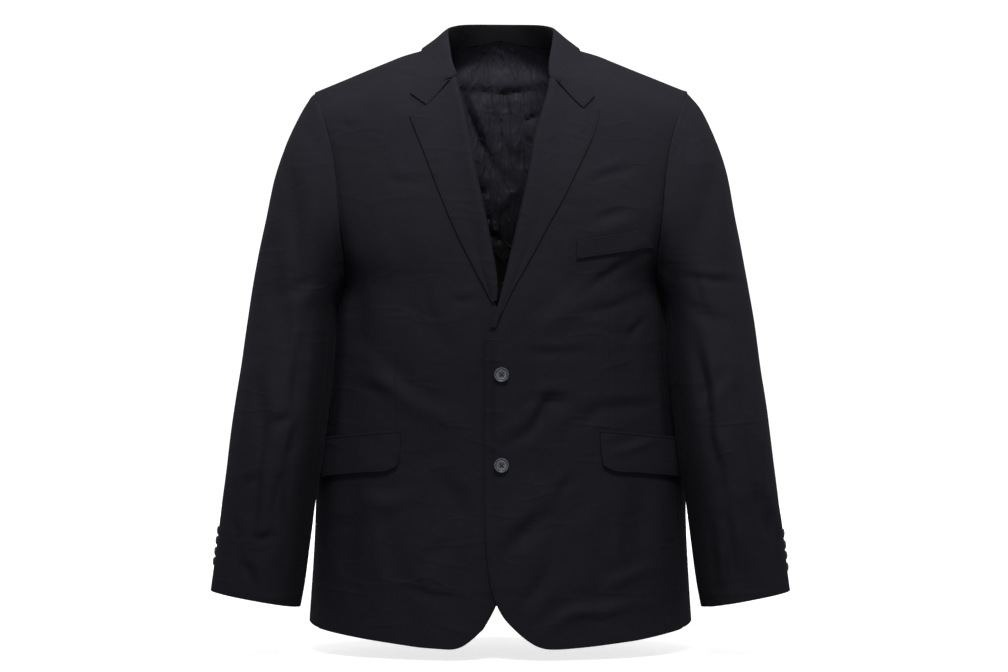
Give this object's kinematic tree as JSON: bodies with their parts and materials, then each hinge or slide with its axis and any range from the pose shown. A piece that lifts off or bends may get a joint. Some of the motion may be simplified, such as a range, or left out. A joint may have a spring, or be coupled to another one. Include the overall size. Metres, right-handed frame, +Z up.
{
  "type": "suit jacket",
  "caption": "Filled-out single-breasted suit jacket, hollow, with notch lapels, flap pockets, a breast welt pocket and round buttons.",
  "frame": {"origin": "between the shoulders, level with the points where neck and shoulder meet, where the wearer holds the jacket up", "axes": "+Z up, the front faces -Y, +X towards the wearer's left"},
  "size_m": [0.7456, 0.2796, 0.8195],
  "materials": {
    "wool_cloth": "matt fine worsted",
    "satin_lining": "satin",
    "button_horn": "satin"
  },
  "bodies": {
    "root": {"front_left": "wool_cloth", "front_right": "wool_cloth", "side_left": "wool_cloth", "side_right": "wool_cloth", "back_left": "wool_cloth", "back_right": "wool_cloth", "top_sleeve_left": "wool_cloth", "top_sleeve_right": "wool_cloth", "under_sleeve_left": "wool_cloth", "under_sleeve_right": "wool_cloth", "collar": "wool_cloth", "lapel_left": "wool_cloth", "lapel_right": "wool_cloth", "flap_left": "wool_cloth", "flap_right": "wool_cloth", "jetting_left": "wool_cloth", "jetting_right": "wool_cloth", "breast_welt": "wool_cloth", "lining_left": "satin_lining", "lining_right": "satin_lining", "front_button_1": "button_horn", "front_button_2": "button_horn", "cuff_button_left_1": "button_horn", "cuff_button_left_2": "button_horn", "cuff_button_left_3": "button_horn", "cuff_button_left_4": "button_horn", "cuff_button_right_1": "button_horn", "cuff_button_right_2": "button_horn", "cuff_button_right_3": "button_horn", "cuff_button_right_4": "button_horn"}
  },
  "joints": []
}
